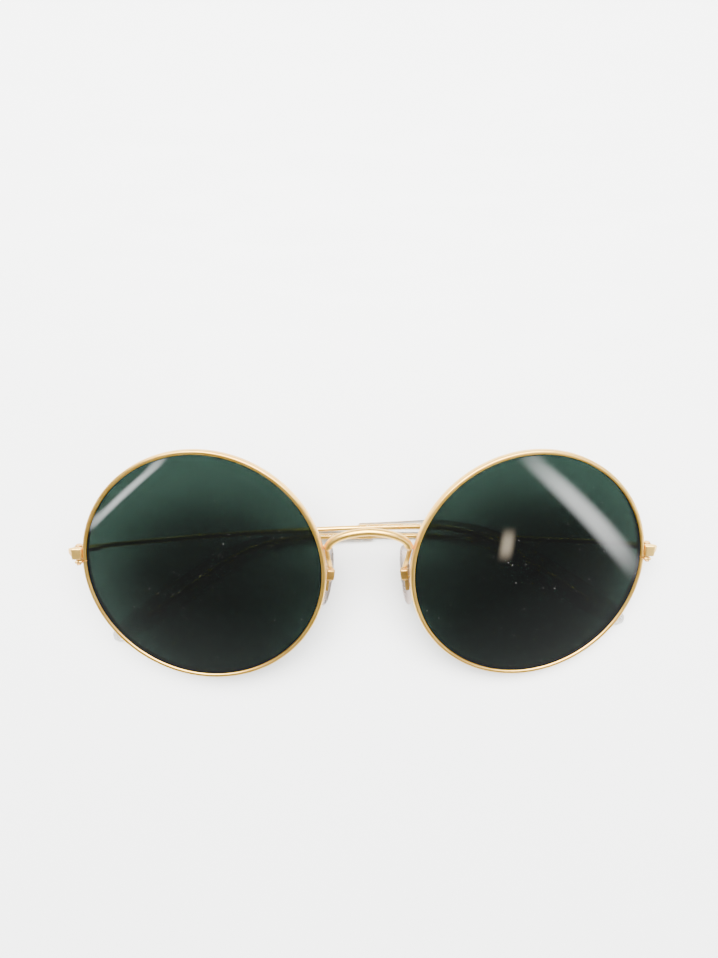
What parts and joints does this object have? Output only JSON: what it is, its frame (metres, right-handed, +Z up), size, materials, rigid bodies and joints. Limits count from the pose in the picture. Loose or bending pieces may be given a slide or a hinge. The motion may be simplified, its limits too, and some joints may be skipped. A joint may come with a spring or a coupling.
{
  "type": "round wire-rim sunglasses",
  "caption": "Round wire-rim sunglasses with dark green lenses, an arched bridge, swivelling clear nose pads and hinged wire temples with clear ear tips, lying folded.",
  "frame": {"origin": "on the surface the folded glasses lie on, under the centre of their bounding box", "axes": "+X towards the wearer's left, +Y towards the top of the lenses, +Z up from the surface, out through the front of the lenses"},
  "size_m": [0.1374, 0.054, 0.0257],
  "materials": {
    "satin_gold": "satin plated wire",
    "screw_gold": "plated, slightly darker",
    "green_glass": "polished, dark green tint",
    "clear_acetate": "clear, polished",
    "clear_pad": "clear, soft gloss"
  },
  "bodies": {
    "front": {"bridge": "satin_gold", "left_rim": "satin_gold", "left_lens": "green_glass", "left_end_piece": "satin_gold", "left_rim_lock": "satin_gold", "left_rim_screw": "screw_gold", "left_front_hinge": "satin_gold", "left_hinge_screw": "screw_gold", "left_pad_arm": "satin_gold", "left_pad_box": "satin_gold", "left_pad_screw": "screw_gold", "right_rim": "satin_gold", "right_lens": "green_glass", "right_end_piece": "satin_gold", "right_rim_lock": "satin_gold", "right_rim_screw": "screw_gold", "right_front_hinge": "satin_gold", "right_hinge_screw": "screw_gold", "right_pad_arm": "satin_gold", "right_pad_box": "satin_gold", "right_pad_screw": "screw_gold"},
    "left_arm": {"left_temple_hinge": "satin_gold", "left_temple": "satin_gold", "left_temple_tip": "clear_acetate"},
    "right_arm": {"right_temple_hinge": "satin_gold", "right_temple": "satin_gold", "right_temple_tip": "clear_acetate"},
    "left_pad": {"left_pad_insert": "satin_gold", "left_nose_pad": "clear_pad"},
    "right_pad": {"right_pad_insert": "satin_gold", "right_nose_pad": "clear_pad"}
  },
  "joints": [
    {"name": "left_temple_hinge", "type": "hinge", "parent": "front", "child": "left_arm", "pos_m": [0.06631, 0.00366, 0.00812], "axis": [-0.0142, -0.9568, -0.2904], "range_deg": [0, 79]},
    {"name": "right_temple_hinge", "type": "hinge", "parent": "front", "child": "right_arm", "pos_m": [-0.06633, 0.00366, 0.0146], "axis": [0.0142, 0.9568, 0.2904], "range_deg": [0, 81]},
    {"name": "left_pad_swivel", "type": "hinge", "parent": "front", "child": "left_pad", "pos_m": [0.00873, -0.00155, 0.01296], "axis": [-0.1181, 0.9563, 0.2675], "range_deg": [-12, 12]},
    {"name": "right_pad_swivel", "type": "hinge", "parent": "front", "child": "right_pad", "pos_m": [-0.00855, -0.00155, 0.0138], "axis": [0.1437, 0.9563, 0.2547], "range_deg": [-12, 12]}
  ]
}
